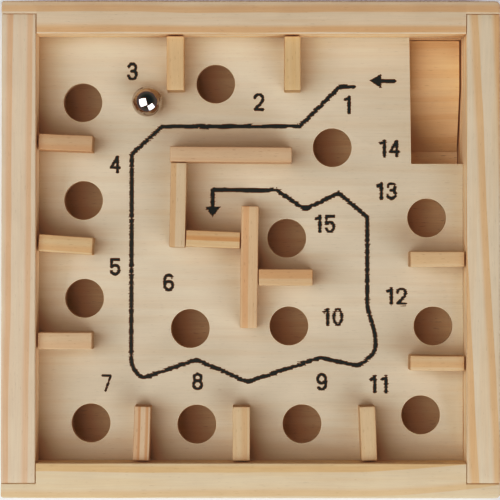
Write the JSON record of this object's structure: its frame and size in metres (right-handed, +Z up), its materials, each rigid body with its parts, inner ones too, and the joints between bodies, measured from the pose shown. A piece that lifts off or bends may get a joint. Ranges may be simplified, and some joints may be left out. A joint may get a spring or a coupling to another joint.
{
  "type": "tilt maze game",
  "caption": "Hand-held wooden tilt maze: a square pine tray with a holed play board, glued wall sticks, a loose steel ball and an open return corner.",
  "frame": {"origin": "centre of the square footprint, on the surface that the game stands on", "axes": "+Z up out of the open tray, +Y towards the rear rail, +X towards the right rail with the open corner"},
  "size_m": [0.1304, 0.13, 0.03],
  "materials": {
    "pine_rails": "planed pine, sealed matt",
    "plywood_board": "sanded pale plywood, matt",
    "plywood_base": "thin plywood, unsanded",
    "stick_wood": "sawn and lightly sanded softwood",
    "ramp_wood": "sanded softwood",
    "polished_steel": "polished bearing ball",
    "printing_ink": "black printing ink, thin and matt"
  },
  "bodies": {
    "game": {"rail_front": "pine_rails", "rail_rear": "pine_rails", "rail_left": "pine_rails", "rail_right": "pine_rails", "play_board": "plywood_board", "base_panel": "plywood_base", "return_ramp": "ramp_wood", "stick_rear_left": "stick_wood", "stick_rear_right": "stick_wood", "stick_left_upper": "stick_wood", "stick_left_middle": "stick_wood", "stick_left_lower": "stick_wood", "stick_right_upper": "stick_wood", "stick_right_lower": "stick_wood", "stick_front_left": "stick_wood", "stick_front_middle": "stick_wood", "stick_front_right": "stick_wood", "stick_middle_upright": "stick_wood", "stick_middle_arm": "stick_wood", "stick_middle_link": "stick_wood", "stick_inner_wall": "stick_wood", "stick_top_bar": "stick_wood"},
    "ball": {"steel_ball": "polished_steel"}
  },
  "joints": [
    {"name": "ball_roll", "type": "slide", "parent": "game", "child": "ball", "axis": [0, 1, 0], "range_m": [-0.076, 0.013]}
  ]
}
